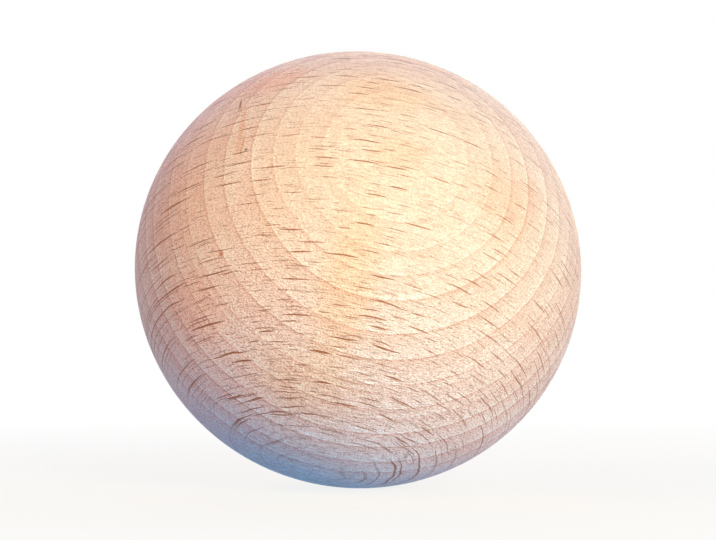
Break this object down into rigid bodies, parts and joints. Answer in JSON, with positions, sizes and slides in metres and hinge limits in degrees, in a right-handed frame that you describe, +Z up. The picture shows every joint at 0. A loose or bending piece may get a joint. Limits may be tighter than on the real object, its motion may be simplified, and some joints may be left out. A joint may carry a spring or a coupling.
{
  "type": "wooden ball",
  "caption": "Solid ball turned from plain beech, sanded and left bare, drawn slightly out of round across the grain as it dried, with no hole and no flat.",
  "frame": {"origin": "centre of the ball", "axes": "+Z up and -Y to the front, as the ball lies in view: the grain falls towards +X, which is the longest way across, and the bark side of the growth rings faces the front and up"},
  "size_m": [0.05, 0.0492, 0.0489],
  "materials": {
    "beech": "matte"
  },
  "bodies": {
    "root": {"ball": "beech"}
  },
  "joints": []
}
